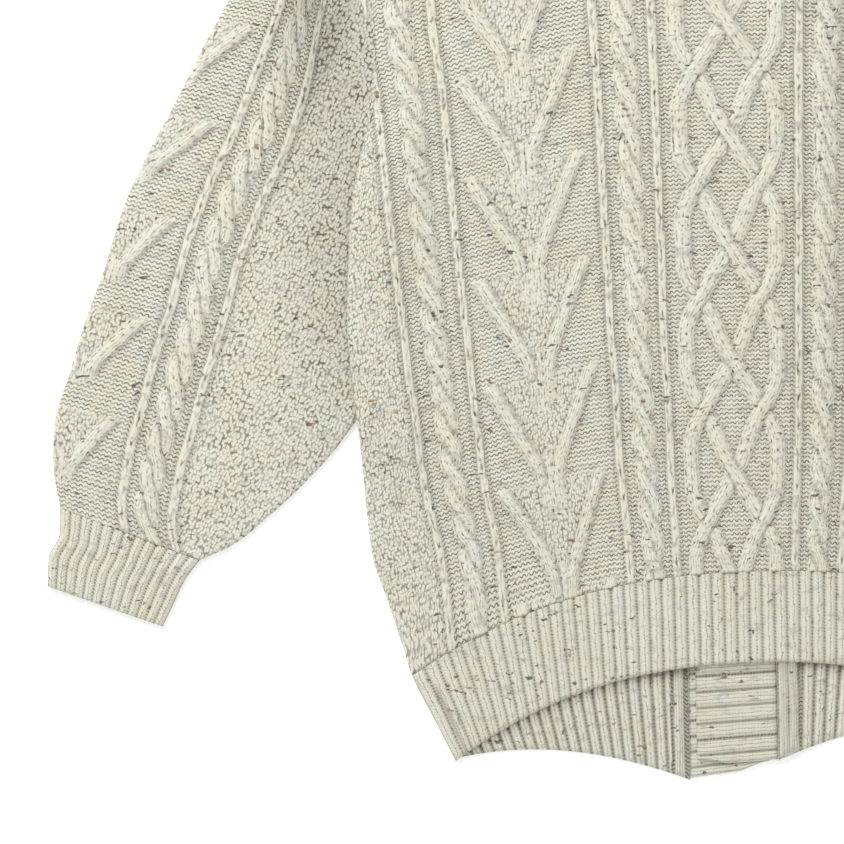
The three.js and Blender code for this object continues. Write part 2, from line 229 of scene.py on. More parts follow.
class Knitting:
    """The height of the wool over a set of places, and which strand lies on top at each."""

    def __init__(self, a, v):
        self.a, self.v = a, v
        self.along = v / COURSE
        self.height, self.across = np.zeros_like(a), np.zeros_like(a)
        self.knit, self.moss, self.shade = (np.zeros_like(a) for _ in range(3))

    def lay(self, height, across, knit, course=COURSE, crossing=1.0):
        """Puts wool on top where it is the highest so far, with painted shade where it meets what
        it crosses.
        """
        touching = np.minimum(height, self.height) > 0.7
        meeting = crossing * (1 - smooth(0, 0.8, np.abs(height - self.height))) * touching
        wins = (height > self.height) & (height > 0.05)
        self.shade = np.maximum(np.where(wins, 0, self.shade), meeting)
        self.height = np.where(wins, height, self.height)
        self.across = np.where(wins, across, self.across)
        self.along = np.where(wins, self.v / course, self.along)
        self.knit = np.where(wins, knit, self.knit)

    def strand(self, centre, half_width, height, stitches=3, slope=0.0, where=1.0, **more):
        """A round strand along a line."""
        t = (self.a - centre) / np.sqrt(1 + slope**2) / half_width
        dome = np.clip(1 - t * t, 0, 1) ** 0.7
        knit = smooth(0.0, 0.4, dome * where)
        self.lay(height * dome * where, (t + 1) * stitches / 2, knit, **more)

    def panel(self, centre, half_width, height, where=1.0):
        """A flat ridge of plain knit columns with soft sides."""
        shape = 1 - smooth(half_width - 4.5, half_width, np.abs(self.a - centre))
        knit = smooth(0.1, 0.5, shape * where)
        self.lay(height * shape * where, (self.a - centre) / STITCH, knit, crossing=0)

    def single(self, centre):
        """A twisted stitch is one long link to two rows. The purl beside it opens into a ladder,
        which takes painted shade.
        """
        self.strand(centre, 3.9, 1.5, stitches=1, course=2 * COURSE)
        ladder = hill(np.abs(self.a - centre), 5.6, 1.5)
        self.shade = np.maximum(self.shade, 0.5 * ladder * (self.height < 0.3))

    def moss_beyond(self, out):
        self.moss = np.maximum(self.moss, smooth(out - 1, out + 1, np.abs(self.a)))


print("stitches to 10 cm of wool:", round(100 / STITCH, 1), "rows:", round(100 / COURSE, 1))

# %% [markdown]
# A rope is two strands that swap sides again and again: each swings from side to side and rises
# as it comes over the other. A braid is four strands in four lanes, which change lanes in pairs.

# %% Ropes and braids
def rope(wool, centre, phase=0.0, period=27.0, swing=4.3):
    turn = np.pi * (wool.v / period + phase)
    for angle in (turn, turn + np.pi):
        slope = -swing * np.pi / period * np.sin(angle)
        height = 2.7 + 1.4 * np.sin(angle)
        wool.strand(centre + swing * np.cos(angle), 6.6, height, slope=slope, crossing=0.6)


def braid(wool, start=39.0, repeat=84.75, lane=25.3):
    """Neighbours cross in pairs, then the middle two cross the other way."""
    between, reach = 0.4425, 0.34  # when the middle two cross, and how long a crossing takes
    steps = ((0, 1), (between, 1), (1, 1), (2, -1), (2 + between, -1), (3, -1), (4, 1))
    for k in range(4):
        phase = ((wool.v - start) / repeat + k) % 4
        place, slope, lift = 1.0, 0.0, 1.0
        for at, step in steps:
            t = np.clip((phase - at + reach) / (2 * reach), 0, 1)
            place = place + step * t * t * (3 - 2 * t)
            slope = slope + step * 6 * t * (1 - t) * lane / (2 * reach * repeat)
            on_top = (step > 0) if at == int(at) else (step < 0)
            lift = lift + (0.3 if on_top else -0.4) * hill(phase, at, 0.15)
        wool.strand((place - 2.5) * lane, 7.2, 2.9 * lift, slope=slope)


trial = Knitting(*np.meshgrid(np.linspace(-60, 60, 121), np.linspace(0, 80, 81)))
braid(trial)
print("braid height, mm:", round(float(trial.height.max()), 2))


# %% [markdown]
# A branch is a stem that forks. Each fork has two arms that leave the stem in a tight curve and
# then run straight outwards, and moss stitch fills it.

# %% Branches
def branch(wool, centre, start, repeat=80.0, reach=44.0, arm=72.0, tail=48.0, stem_width=13.0):
    stem_half = 5.5  # how far from the middle the arms start

    def out_at(up):
        t = (up / arm + np.sqrt((up / arm) ** 2 + 0.02)) / 2
        return stem_half + (reach - stem_half) * np.minimum(t, 1.15) ** 0.9

    for n in range(-1, 9):
        up = wool.v - (start + n * repeat)
        t, out = up / arm, out_at(up)
        slope = (out_at(up + 1) - out_at(up - 1)) / 2
        ends = smooth(-0.35, 0.0, t) * (1 - smooth(0.86, 1.06, t))
        height = 2.6 + 0.7 * np.clip(t, 0, 1)
        for s in (-1, 1):
            wool.strand(centre + s * out, 6.0, height, slope=slope, where=ends, crossing=0)
        stem = smooth(-tail, -tail * 0.3, up) * (1 - smooth(-2, 12, up))
        wool.panel(centre, stem_width + 0.05 * np.clip(up, -tail, 0), 1.2, stem)
        inside = 1 - smooth(-1, 2, np.abs(wool.a - centre) - out)
        inside = inside * smooth(0, 8, up) * (1 - smooth(0.9, 1.02, t))
        wool.moss = np.maximum(wool.moss, inside)


def side_panels(wool, s, branch_start):
    """Everything between the braid and the side seam."""
    wool.single(56.0 * s)
    rope(wool, 77.5 * s)
    wool.single(100.0 * s)
    branch(wool, 162.0 * s, branch_start)
    wool.single(220.0 * s)
    rope(wool, 245.0 * s, phase=0.3)
    wool.single(271.0 * s)
    wool.moss_beyond(277)


def body_knitting(a, v):
    wool = Knitting(a, v)
    braid(wool)
    for _, s in SIDES:
        side_panels(wool, s, branch_start=17.0)
    return wool


sample = body_knitting(*np.meshgrid(np.linspace(-270, 270, 541), np.linspace(0, 100, 101)))
print("highest relief, mm:", round(float(sample.height.max()), 2))

# %% [markdown]
# ## Making a cloth
# Each piece is a closed shell: a fine grid on the face that shows and a coarse grid on the other,
# joined round the rim. A Solidify modifier could give the thickness, but it would double the
# fine grid, and the hidden face doesn't need it.

# %% Grids and rims
COARSE = 6  # the hidden face has every sixth row and column


def mesh_of(name, points, faces, rim, values):
    """The rim's faces are flat, so that they don't darken the edge of the face beside them."""
    me = bpy.data.meshes.new(name)
    me.from_pydata(points.tolist(), [], faces + rim)
    me.polygons.foreach_set("use_smooth", np.arange(len(me.polygons)) < len(faces))
    for key, value in values.items():
        kind, field = ("FLOAT_VECTOR", "vector") if value.ndim == 2 else ("FLOAT", "value")
        layer = me.attributes.new(key, kind, "POINT")
        layer.data.foreach_set(field, value.astype(np.float32).ravel())
    me.validate()
    me.update()
    ob = bpy.data.objects.new(name, me)
    bpy.context.collection.objects.link(ob)
    return ob


def grid_faces(rows, cols, first, flip, ring=False):
    r, c = np.mgrid[0 : rows - 1, 0 : cols - (0 if ring else 1)]
    n = (c + 1) % cols
    corners = [r * cols + c, r * cols + n, (r + 1) * cols + n, (r + 1) * cols + c]
    quad = np.stack(corners, -1).reshape(-1, 4)
    quad = quad[:, ::-1] if flip else quad
    return (quad + first).tolist()


def rim_of(rows, cols, first):
    low = [first + c for c in range(cols)]
    right = [first + r * cols + cols - 1 for r in range(1, rows)]
    high = [first + (rows - 1) * cols + c for c in range(cols - 2, -1, -1)]
    left = [first + r * cols for r in range(rows - 2, 0, -1)]
    return low + right + high + left


def rim_faces(fine, thin, flip):
    """Joins a fine loop of corners to a thin one, with a fan at each corner of the thin loop."""
    rim = []
    for i, p in enumerate(thin):
        run = [fine[(i * COARSE + k) % len(fine)] for k in range(COARSE + 1)]
        fan = [[p, run[k + 1], run[k]] for k in range(COARSE)]
        fan += [[p, thin[(i + 1) % len(thin)], run[-1]]]
        rim += [f[::-1] for f in fan] if flip else fan
    return rim


print("faces of a 3 by 3 grid:", len(grid_faces(3, 3, 0, False)))

# %% [markdown]
# Some numbers go with every corner, for the material to draw the stitches by: the place in the
# ground, the place on a strand, how much of each kind of stitch is there, and how much painted
# shade it takes from the hollow or crease it lies in. An image laid over the mesh could hold the
# same, but the numbers need no unwrapping.

# %% Shells
def stitches(wool, ground_s, ground_r, crease):
    zero = np.zeros_like(ground_s)
    return {
        "ground": np.stack([ground_s, ground_r, zero], -1),
        "strand": np.stack([wool.across, wool.along, zero], -1),
        "knit": wool.knit,
        "moss": wool.moss * (1 - wool.knit),
        # painted shade for the hollows, creases and seams the wool lies in
        "crease": crease,
    }


def on_both(values, rows, cols):
    """The hidden face is too coarse for the cables' numbers, so it takes plain stitches."""
    plain = np.full_like(values["knit"], round(values["knit"].mean()))
    none = 0 * plain
    hidden = {**values, "strand": values["ground"], "knit": plain, "moss": none, "crease": none}
    full = {}
    for key, value in values.items():
        shown = value.reshape(rows * cols, -1)
        thinned = hidden[key].reshape(rows, cols, -1)[::COARSE, ::COARSE]
        both = np.concatenate([shown, thinned.reshape(-1, shown.shape[1])])
        full[key] = both if both.shape[1] == 3 else both[:, 0]
    return full


def shell(name, x, y, face, other, values, face_up=True):
    """A cloth between two heights over the same places. The finer face shows."""
    rows, cols = x.shape
    thin = (slice(None, None, COARSE),) * 2
    fine_points, thin_points = np.stack([x, y, face], -1), np.stack([x, y, other], -1)[thin]
    points = np.concatenate([fine_points.reshape(-1, 3), thin_points.reshape(-1, 3)])
    points[:, 1] += TO_FRAME
    size = thin_points.shape[:2]
    faces = grid_faces(rows, cols, 0, not face_up) + grid_faces(*size, rows * cols, face_up)
    rim = rim_faces(rim_of(rows, cols, 0), rim_of(*size, rows * cols), not face_up)
    return mesh_of(name, points * MM, faces, rim, on_both(values, rows, cols))


print("numbers with every corner:", list(stitches(trial, trial.a, trial.v, trial.shade)))

# %% [markdown]
# Cloth is never quite flat, its edges are round, and wool that lies in a hollow is in shade, which
# is painted into its colour. A few long waves give the unevenness. They come from a seeded
# generator, so every run is the same.

# %% Edges, hollows and waves
def roll_off(distance, radius):
    """How far a rounded edge has dropped, from 0 inside to 1 at the edge."""
    t = np.clip(1 - distance / radius, 0, 1)
    return 1 - np.sqrt(np.clip(1 - t * t, 0, 1))


def hollow_shade(height, reach=4, depth=1.2):
    """Painted shade where the wool lies lower than the wool around it."""
    wide = height
    for _ in range(reach):
        p = np.pad(wide, 1, mode="edge")
        wide = (p[2:, 1:-1] + p[:-2, 1:-1] + p[1:-1, 2:] + p[1:-1, :-2] + wide) / 5
    return np.clip((wide - height) / depth, 0, 1)


# Painted shade for the cables: in the hollows of the relief, where strands meet and in the ladders.
def creases(wool):
    return np.clip(hollow_shade(wool.height) + wool.shade * 0.8, 0, 1)


def waves(x, y, seed, size=90.0, count=7):
    rng = np.random.default_rng(seed)
    total = np.zeros_like(x)
    for _ in range(count):
        angle, phase = rng.uniform(0, np.pi), rng.uniform(0, 6.28)
        length = size * rng.uniform(0.6, 1.5)
        total += np.sin((x * np.cos(angle) + y * np.sin(angle)) * 6.283 / length + phase)
    return total / count


print("edge 1 mm in, dropped by:", round(float(roll_off(1.0, 9.0)), 2))

# %% [markdown]
# ## The back
# The face is a grid over rows and parts of the width. Its height is the layers beneath, the
# pattern's relief, a little unevenness, and a round edge that closes over the front at the sides.
# The columns lie closer together on the left and in the middle, where the pattern is seen best.

# %% The back
BACK_GRID = dict(left=216, right=72, rows=300)
DENSE_TO = 0.3  # the part of the half width where the columns start to spread
BACK_EDGE = 9.0  # radius of the round side
FOLD = dict(x=52, spread=7, depth=1.5, low=(40, 90), high=(240, 300))  # a soft valley on the right


def dense_columns(left, right):
    dense, sparse = np.linspace(-1, DENSE_TO, left + 1), np.linspace(DENSE_TO, 1, right + 1)
    return np.concatenate([dense, sparse[1:]])


def make_back():
    parts = dense_columns(BACK_GRID["left"], BACK_GRID["right"])
    part, row = np.meshgrid(parts, np.linspace(RIB_TOP, BODY_TOP, BACK_GRID["rows"] + 1))
    half = half_at(row)
    x = part * half
    y = body_height(row, x)
    z = LAYER + side_lift(row, np.abs(part)) + middle_lift(x, y)
    a = x / draw_in(row - RIB_TOP)
    v = row - RIB_TOP + droop(row, x) + COURSE / 2
    wool = body_knitting(a, v)
    gap = half - np.abs(x)
    drop = roll_off(gap, BACK_EDGE)
    fold = hill(x, FOLD["x"], FOLD["spread"]) * smooth(*FOLD["low"], y)
    fold = fold * (1 - smooth(*FOLD["high"], y))
    swell = 0.9 * waves(x, y, 3) - FOLD["depth"] * fold
    face = z + CLOTH - 1.0 + wool.height + swell * smooth(0, 30, gap)
    low = z - LAYER * 0.7 * drop
    face = face + (low + 0.4 - face) * drop
    values = stitches(wool, a / STITCH, v / COURSE, creases(wool))
    return shell("back_cables", x, y, face, np.minimum(low, face - 0.3), values)


back = make_back()
print("back faces:", len(back.data.polygons))

# %% [markdown]
# ## The hem rib of the back
# A rib is columns of knit with purl between them, which draw together, so the knit stands up as
# round ridges. Each ridge could be its own swept tube, but a rib is one cloth, so the ridges are
# relief of one grid, and the grid has enough columns for each ridge to be round.

# %% The back rib
RIB_COUNT = 26  # ribs in half the width
RIB_COLUMNS = 78  # steps of the coarse grid across the whole rib
SIDE_SEAM = dict(at=11, spread=1.5, depth=1.3, fade=(45, 62))


def rib_height(count, depth=2.3, flat=0.35):
    """The height of round ribs, and how far each place is towards the hollow between two."""
    t = np.abs(count % 1 - 0.5) * 2
    return depth * (1 - smooth(flat, 1.0, t)), t


def rib_wool(count, v, height, knit):
    wool = Knitting(count, v)
    wool.height, wool.knit = height, knit
    wool.across, wool.along = count, v / RIB_COURSE
    return wool


def make_back_rib():
    parts = np.linspace(-1, 1, COARSE * RIB_COLUMNS + 1)
    part, row = np.meshgrid(parts, np.linspace(0, RIB_TOP, COARSE * 7 + 1))
    half, top_half = half_at(row), half_at(RIB_TOP)
    x = part * (top_half + (half - top_half) * np.abs(part) ** 1.6)
    y = row - (row - side_at(row)) * arch(x, half)
    z = LAYER + middle_lift(x, y)
    height, t = rib_height(part * RIB_COUNT)
    wool = rib_wool(part * RIB_COUNT % 1, row, height, 1 - smooth(0.72, 0.9, t))
    gap = (1 - np.abs(part)) * half
    low = z - LAYER * 0.7 * roll_off(gap, 8.0)
    face = z + CLOTH - 1.2 + height + 0.5 * waves(x, y, 3) * smooth(0, 20, gap)
    face = face + (low + 0.5 - face) * np.maximum(roll_off(gap, 8.0), roll_off(row, 3.4))
    under = np.minimum(low, face - 0.3)
    seam = hill(gap, SIDE_SEAM["at"], SIDE_SEAM["spread"]) * (1 - smooth(*SIDE_SEAM["fade"], row))
    # painted shade in the hollows between the ribs and in the groove of the side seam
    crease = 0.7 * smooth(0.6, 1, t) + 0.9 * seam
    values = stitches(wool, part * RIB_COUNT * 2, row / RIB_COURSE, crease)
    return shell("back_hem_rib", x, y, face - SIDE_SEAM["depth"] * seam, under, values)


back_rib = make_back_rib()
print("rib faces:", len(back_rib.data.polygons))

# %% [markdown]
# ## The sleeves
# A sleeve is a tube that lies flat: the same knitting on its upper and its lower wall, and a round
# fold down each side. The grid goes all the way round. Places across it are measured from the
# outer fold, where the middle of the sleeve's pattern runs.

# %% The folds of the sleeves and cuffs
def folds(*rows):
    """Each row joins the outer fold to the inner fold, from the hand up."""
    return [dict(zip(("out_x", "out_y", "in_x", "in_y"), row)) for row in rows]


SLEEVE = folds(
    (506.2, 126.5, 402.5, 85), (511, 160, 376, 97), (509, 190, 350, 117), (497, 228, 322, 142),
    (485, 265, 296, 170), (470, 304, 275, 203), (455, 349, 265, 252), (438, 386, 264.5, 305),
    (417, 423, 268, 352), (396, 463, 272, 381), (368, 512, 267, 398), (325, 585, 264, 412),
    (266.5, 665, 262, 429),
)
CUFF = folds(
    (517, 68, 431, 36), (515.5, 90, 422, 54), (507, 108, 414, 70), (506.2, 126.5, 402.5, 85),
)


def fold_lines(rows):
    """Curves for both folds, by the length along a line a quarter of the way in."""
    outer = np.array([[r["out_x"], r["out_y"]] for r in rows], float)
    inner = np.array([[r["in_x"], r["in_y"]] for r in rows], float)
    quarter = (3 * outer + inner) / 4
    run = np.concatenate([[0], np.cumsum(np.hypot(*np.diff(quarter, axis=0).T))])
    return run, [curve(run, line[:, k]) for line in (outer, inner) for k in (0, 1)]


print("sleeve length, mm:", round(fold_lines(SLEEVE)[0][-1]))

# %% [markdown]
# The inner skin of the tube lies just inside the outer one, so both walls have their thickness
# and the sleeve stays open from end to end. The relief of the lower wall goes up into it, which
# keeps the underside flat on the table.

# %% Tubes
def tube_places(rows, steps, around):
    """Places round a flattened tube, from the outer fold over the top to the inner, and back."""
    run, (ox, oy, ix, iy) = fold_lines(rows)
    lengths, turns = np.linspace(0, run[-1], steps + 1), np.arange(around) / around
    s, turn = np.meshgrid(lengths, turns, indexing="ij")
    across = 1 - np.abs(1 - 2 * turn)
    width = np.hypot(ox(s) - ix(s), oy(s) - iy(s))
    x = ox(s) + (ix(s) - ox(s)) * across
    y = oy(s) + (iy(s) - oy(s)) * across
    return s, across, turn > 0.5, width, x, y


def tube_height(across, width, lower, relief, allowed):
    edge = np.minimum(across, 1 - across) * width
    high = TUBE - 1.0 + relief
    top = high + (TUBE / 2 - high) * roll_off(edge, 7.0)
    bottom = (allowed - np.minimum(relief, allowed)) * 0.45
    bottom = bottom + (TUBE / 2 - bottom) * roll_off(edge, 5.0)
    return np.where(lower, bottom, top)


def tube_shell(name, sign, x, y, z, values, inset=0.05, opening=0.15):
    """Closes a ring grid with an inner skin, and joins the two at both ends."""
    rows, cols = x.shape
    outer = np.stack([sign * x, y + TO_FRAME, z], -1)
    inner = outer[:, ::COARSE].copy()
    inner[..., :2] += (outer.mean(axis=1, keepdims=True)[..., :2] - inner[..., :2]) * inset
    inner[..., 2] = TUBE / 2 + np.where(inner[..., 2] > TUBE / 2, opening, -opening)
    inner = inner[::COARSE]
    thin_rows, thin_cols = inner.shape[:2]
    points = np.concatenate([outer.reshape(-1, 3), inner.reshape(-1, 3)])
    count = rows * cols
    faces = grid_faces(rows, cols, 0, sign < 0, ring=True)
    faces += grid_faces(thin_rows, thin_cols, count, sign > 0, ring=True)
    ends = ((0, 0, sign < 0), (rows - 1, thin_rows - 1, sign > 0))
    rim = []
    for fine_row, thin_row, flip in ends:
        fine = [fine_row * cols + c for c in range(cols)]
        thin = [count + thin_row * thin_cols + c for c in range(thin_cols)]
        rim += rim_faces(fine, thin, flip)
    return mesh_of(name, points * MM, faces, rim, on_both(values, rows, cols))


print("top of a flat tube, mm:", round(float(tube_height(0.5, 100.0, False, 0.0, 0.0)), 1))

# %% [markdown]
# The sleeve bunches into small folds where it meets the underarm, and a soft valley runs down
# beside the body; both take painted shade on the upper wall. Next to the inner fold the rows would
# be squeezed into streaks if they ran round the tube, so the moss stitch there keeps to a straight
# grid of its own.

# %% The sleeves
SLEEVE_GRID = dict(steps=264, around=240)
INNER_MOSS = 97.0  # beyond the last single the sleeve is moss stitch
# beyond this the ground keeps to a straight grid, turned to lie along the inner fold
STRAIGHT = dict(beyond=93, cos=0.9, sin=0.44)
SLEEVE_RELIEF = 4.2  # how much relief the lower wall can take in
UNDERARM = dict(x=306, y=486)
# the pattern twists round the arm: its middle lies this far from the fold
pattern_shift = curve([0, 60, 150, 300, 420, 560], [0, -9, -6, 2, 12, 16])


def sleeve_knitting(b, v):
    wool = Knitting(b, v)
    for _, s in SIDES:
        wool.single(52.0 * s)
        rope(wool, 72.5 * s, phase=0.2)
        wool.single(93.0 * s)
    branch(wool, 0.0, start=36.0, repeat=78.0, reach=34.0, arm=44.0, tail=20.0, stem_width=9.0)
    wool.moss_beyond(INNER_MOSS + 1)
    return wool


def sleeve_folds(x, y):
    near = hill(x, UNDERARM["x"], 26) * hill(y, UNDERARM["y"], 60)
    bunch = 4.5 * near * np.cos((x - 300 + 0.35 * (y - UNDERARM["y"])) * 0.16)
    slope = 2.2 * hill(x, 330, 40) * np.sin((y - 150) * 0.021)
    return 0.9 * waves(x, y, 5) + bunch * (y > 400) + slope


# Painted shade on the sleeve: down the valley beside the body, and in the folds at the underarm.
def sleeve_shade(x, y):
    valley = 0.42 * hill(x, 290, 44) * smooth(120, 300, y)
    return valley + 0.36 * hill(x, UNDERARM["x"], 30) * hill(y, UNDERARM["y"], 50)


def make_sleeve(side, sign):
    s, across, lower, width, x, y = tube_places(SLEEVE, **SLEEVE_GRID)
    steps = np.hypot(np.diff(x, axis=0), np.diff(y, axis=0))
    s = np.concatenate([np.zeros((1, s.shape[1])), np.cumsum(steps, axis=0)])
    b = across * width + pattern_shift(s)
    b = np.where(lower, -b, b)
    wool = sleeve_knitting(b, s)
    soft = sleeve_folds(x, y) * smooth(0, 22, np.minimum(across, 1 - across) * width)
    z = tube_height(across, width, lower, wool.height, SLEEVE_RELIEF) + np.where(lower, 0, soft)
    z = np.where(lower, np.minimum(z, TUBE / 2), np.maximum(z, TUBE / 2))
    inner = np.abs(b) > STRAIGHT["beyond"]
    cos, sin = STRAIGHT["cos"], STRAIGHT["sin"]
    ground_s = np.where(inner, cos * x + sin * y, b) / STITCH
    ground_r = np.where(inner, sin * x - cos * y, s) / COURSE
    # the upper wall takes painted shade in its hollows, valley and underarm folds
    values = stitches(wool, ground_s, ground_r, creases(wool) + sleeve_shade(x, y) * ~lower)
    return tube_shell(f"{side}_sleeve_cables", sign, x, y, z, values)


sleeves = {side: make_sleeve(side, sign) for side, sign in SIDES}
print("sleeve faces:", len(sleeves["left"].data.polygons))

# %% [markdown]
# A cuff is a tube of rib that draws in the sleeve. It could be more rows of the sleeve's grid, but
# its ribs run straight while the sleeve's pattern turns, so it is a tube of its own. Its edge at
# the hand is round.

# %% The cuffs
CUFF_GRID = dict(steps=36, around=264)
CUFF_RIBS = 13  # on each wall


def make_cuff(side, sign):
    s, across, lower, width, x, y = tube_places(CUFF, **CUFF_GRID)
    count = np.where(lower, 2 - across, across) * CUFF_RIBS
    height, t = rib_height(count, 2.0)
    wool = rib_wool(count % 1, s, height, 1 - smooth(0.72, 0.9, t))
    z = tube_height(across, width, lower, height, 2.0)
    z = z + (TUBE / 2 - z) * 0.45 * roll_off(s, 3.0)
    # painted shade in the hollows between the ribs
    values = stitches(wool, count * 2, s / RIB_COURSE, 0.7 * smooth(0.6, 1, t))
    return tube_shell(f"{side}_cuff_rib", sign, x, y, z, values)


cuffs = {side: make_cuff(side, sign) for side, sign in SIDES}
print("cuff faces:", len(cuffs["left"].data.polygons))

# %% [markdown]
# ## The fronts
# The fronts lie beneath the back. Their right side faces down, so their cables go into the wall
# from below, and their inside faces up and shows only under the arch of the back hem. Beside the
# bands they hang lower than the back, so their rows drop there.

# %% The fronts
FRONT_GRID = dict(columns=120, rows=300)
FRONT_DROP = {"left": 84.0, "right": 73.0}
RIB_STRETCH = 20.0  # how much of that the rib takes up beside the band
DROP_ROWS, DROP_CURVE = 140.0, 1.6  # the drop is gone this far above the rib
SEAM_GAP = 0.4
FRONT_INSET = 4.6  # the fronts end this far inside the back, which rolls over them
BAND_RAMP = 45.0  # the right front comes down from the band over this width


def front_surface(side, sign, row, w, drop):
    """w runs from 0 at the band to 1 at the side seam."""
    half = half_at(row) - FRONT_INSET
    y0 = body_height(row, sign * (band_seam(body_height(row, sign * 37.0)) + 3)) - drop
    edge = band_seam(y0) + sign * band_shift(y0) + SEAM_GAP
    out = edge + (half - edge) * w
    x = sign * out
    y = body_height(row, x) - drop * (1 - w)
    rise = LAYER * band_lift(y) * (1 - smooth(0, BAND_RAMP, out - edge)) if side == "right" else 0
    return x, y, rise + side_lift(row, out / (half + FRONT_INSET)), half - out


def make_front(side, sign):
    rows = np.linspace(RIB_TOP + 0.3, BODY_TOP, FRONT_GRID["rows"] + 1)
    w, row = np.meshgrid(np.linspace(0, 1, FRONT_GRID["columns"] + 1), rows)
    v = row - RIB_TOP
    drop = (FRONT_DROP[side] - RIB_STRETCH) * np.clip(1 - v / DROP_ROWS, 0, 1) ** DROP_CURVE
    x, y, z, gap = front_surface(side, sign, row, w, drop)
    a = x / draw_in(v)
    wool = Knitting(a, v)
    side_panels(wool, sign, branch_start=6.0)
    edge = roll_off(gap, 4.0)
    low = z + 0.42 * (SLEEVE_RELIEF - np.minimum(wool.height, SLEEVE_RELIEF)) + 0.5 * edge
    values = stitches(wool, a / STITCH, v / COURSE, creases(wool))
    inside = z + CLOTH - 0.5 * edge
    return shell(f"{side}_front_cables", x, y, low, inside, values, face_up=sign < 0)


fronts = {side: make_front(side, sign) for side, sign in SIDES}
print("front faces:", len(fronts["left"].data.polygons))

# %% [markdown]
# ## The front ribs
# The ribs are alike on both sides of the wool. Beside the band the seam allowance is turned back,
# in one round roll on the left and two on the right. The edge of the back hem shades what lies
# just below it, which the soft light alone would leave too bright.

# %% The front ribs
FRONT_RIBS = 21
ROLLS = {"left": dict(count=1, width=8.5, first=3.5), "right": dict(count=2, width=7.5, first=0.5)}


def under_hem(x, y):
    """Shade on what lies just below the edge of the back's hem."""
    edge = BACKS[0] - (BACKS[0] - BODY[0]["side"]) * arch(x, BODY[0]["half"])
    return 0.7 * smooth(-12, 3, y - edge)


def make_front_rib(side, sign):
    rows = np.linspace(-0.5, RIB_TOP, 36 + 1)
    w, row = np.meshgrid(np.linspace(0, 1, FRONT_RIBS * 8 + 1), rows)
    drop = FRONT_DROP[side] - RIB_STRETCH * row / RIB_TOP
    x, y, z, gap = front_surface(side, sign, row, w, drop)
    height, t = rib_height(w * FRONT_RIBS, 2.6)
    rolls = ROLLS[side]
    roll_at = (w * (half_at(row) - FRONT_INSET - 29) - rolls["first"]) / rolls["width"]
    from_middle = np.abs(2 * (roll_at % 1) - 1)
    in_roll = roll_at < rolls["count"] + 0.25
    on_roll = in_roll & (roll_at > 0) & (roll_at < rolls["count"])
    height = np.where(in_roll, 3.6 * np.sqrt(1 - from_middle**2) * on_roll, height)
    t = np.where(in_roll, np.where(on_roll, from_middle**4, 1), t)
    count = np.where(in_roll, roll_at * 2, w * FRONT_RIBS)
    wool = rib_wool(count % 1, row, height, 1 - smooth(0.72, 0.9, t))
    face = z + CLOTH - 1.6 + height
    face = face + (z + 0.8 - face) * np.maximum(roll_off(row + 0.5, 3.0), roll_off(gap, 3.0))
    # painted shade in the hollows between the ribs and just below the edge of the back's hem
    crease = smooth(0.5, 0.9, t) + under_hem(x, y)
    values = stitches(wool, w * FRONT_RIBS * 2, row / RIB_COURSE, crease)
    return shell(f"{side}_front_hem_rib", x, y, face, z + 0 * x, values, face_up=sign > 0)


front_ribs = {side: make_front_rib(side, sign) for side, sign in SIDES}
print("front rib faces:", len(front_ribs["left"].data.polygons))

# %% [markdown]
# ## The bands
# A band is knitted sideways, so its ribs run across it, and it is one long strip from the hem to
# the neck. At the neck its free edge swings out, which a table gives, place by place.

# %% The front bands
BAND_TOP = [
    dict(sewn_y=V_START, free_x=SEAM_HALF - BAND, free_y=V_START),
    dict(sewn_y=470, free_x=-15, free_y=478),
    dict(sewn_y=560, free_x=1, free_y=572), dict(sewn_y=600, free_x=9, free_y=616),
    dict(sewn_y=645, free_x=19, free_y=668), dict(sewn_y=688, free_x=41, free_y=732),
    dict(sewn_y=NECK_SIDE, free_x=76, free_y=760),
]
BAND_RIDGE = 11.7  # from one ridge of the band to the next
BAND_CORNER = 9.0  # radius of the corner at the foot
BAND_STEPS = 24  # across the band


def band_values(count, w, crease):
    """The band's ridges and stitches, with painted shade in the hollows between the ridges."""
    height, t = rib_height(count, 2.2, flat=0.6)
    wool = rib_wool(count % 1 * 2, w * BAND, height, 1 - smooth(0.88, 0.98, t))
    crease = 1.3 * smooth(0.8, 1, t) + crease
    return height, stitches(wool, count * 2, w * BAND / RIB_COURSE, crease)


def make_band(side, sign, sewn, free):
    ys = [sewn, V_START / 2] + [r["sewn_y"] for r in BAND_TOP]
    free_x = curve(ys, [SEAM_HALF - BAND] * 2 + [r["free_x"] for r in BAND_TOP])
    free_y = curve(ys, [free, V_START / 2] + [r["free_y"] for r in BAND_TOP])
    lengths, widths = np.linspace(sewn, NECK_SIDE, 480 + 1), np.linspace(0, 1, BAND_STEPS + 1)
    along, w = np.meshgrid(lengths, widths, indexing="ij")
    x = sign * (band_seam(along) + (free_x(along) - band_seam(along)) * w) + band_shift(along)
    y = along + (free_y(along) - along) * w
    y = y + roll_off(along - sewn, BAND_CORNER) * smooth(0.6, 1, w) * BAND_CORNER
    z = LAYER * band_lift(along) if side == "right" else np.zeros_like(along)
    height, values = band_values((along - sewn) / BAND_RIDGE + 0.35, w, under_hem(x, y))
    drop = np.maximum(roll_off(np.minimum(w, 1 - w) * BAND, 3.0), roll_off(along - sewn, 3.0))
    face = z + CLOTH - 1.4 + height
    face = face + (z + 0.9 - face) * drop
    return shell(f"{side}_band_rib", x, y, face, z, values, face_up=sign < 0)


bands = {side: make_band(side, sign, **FOOT[side]) for side, sign in SIDES}
print("band faces:", len(bands["left"].data.polygons))

# %% [markdown]
# The same rib goes on round the back of the neck, between the tops of the two bands. It could be
# one long strip with them, but its ribs fan out there, so it is a grid of its own between them.

# %% The neck band
NECK_RIBS = 8  # in half the width


